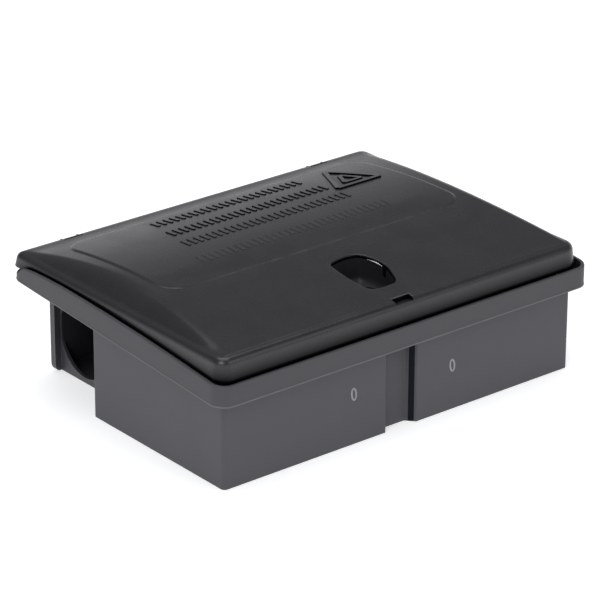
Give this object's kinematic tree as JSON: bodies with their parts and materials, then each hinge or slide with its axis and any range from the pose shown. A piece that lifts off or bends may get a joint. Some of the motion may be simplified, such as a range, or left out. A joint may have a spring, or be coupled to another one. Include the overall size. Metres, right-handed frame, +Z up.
{
  "type": "bait station",
  "caption": "Lockable plastic rodent bait station with a hinged arched lid, side entry holes and removable bait trays on rods.",
  "frame": {"origin": "on the floor, under the middle of the rim's footprint", "axes": "+X to the right along the long front face, +Y towards the hinged back, +Z up"},
  "size_m": [0.2518, 0.1843, 0.0836],
  "materials": {
    "tub": "fine matte moulded texture",
    "lid": "satin gloss",
    "well": "gloss",
    "plug": "satin",
    "baffle": "matte",
    "tray": "matte",
    "bright_steel": "drawn wire",
    "zinc_steel": "zinc plated",
    "bait": "waxy"
  },
  "bodies": {
    "tub": {"base_tub": "tub", "tunnel_baffle": "baffle", "hinge_pin_left": "bright_steel", "hinge_pin_right": "bright_steel"},
    "lid": {"lid_shell": "lid", "lock_cup": "well", "cup_screw_left": "zinc_steel", "cup_screw_right": "zinc_steel"},
    "lock": {"lock_plug": "plug", "plug_washer": "zinc_steel", "cam_lever": "zinc_steel", "cam_screw": "zinc_steel"},
    "left_tray": {"bait_tray_left": "tray"},
    "right_tray": {"bait_tray_right": "tray"},
    "left_bait": {"bait_rod_left": "bright_steel", "bait_block_1": "bait", "bait_block_2": "bait"},
    "right_bait": {"bait_rod_right": "bright_steel", "bait_block_3": "bait", "bait_block_4": "bait"}
  },
  "joints": [
    {"name": "lid_hinge", "type": "hinge", "parent": "tub", "child": "lid", "pos_m": [-0.001, 0.0903, 0.0692], "axis": [-1, 0, 0], "range_deg": [-3, 100]},
    {"name": "cam_turn", "type": "hinge", "parent": "lid", "child": "lock", "pos_m": [-0.0013, -0.053, 0.058], "axis": [0, 0, -1], "range_deg": [0, 90]},
    {"name": "tray_left_lift", "type": "slide", "parent": "tub", "child": "left_tray", "axis": [0, 0, 1], "range_m": [0, 0.01]},
    {"name": "tray_right_lift", "type": "slide", "parent": "tub", "child": "right_tray", "axis": [0, 0, 1], "range_m": [0, 0.01]},
    {"name": "rod_left_lift", "type": "slide", "parent": "left_tray", "child": "left_bait", "axis": [0, 0, 1], "range_m": [0, 0.012]},
    {"name": "rod_right_lift", "type": "slide", "parent": "right_tray", "child": "right_bait", "axis": [0, 0, 1], "range_m": [0, 0.012]}
  ]
}
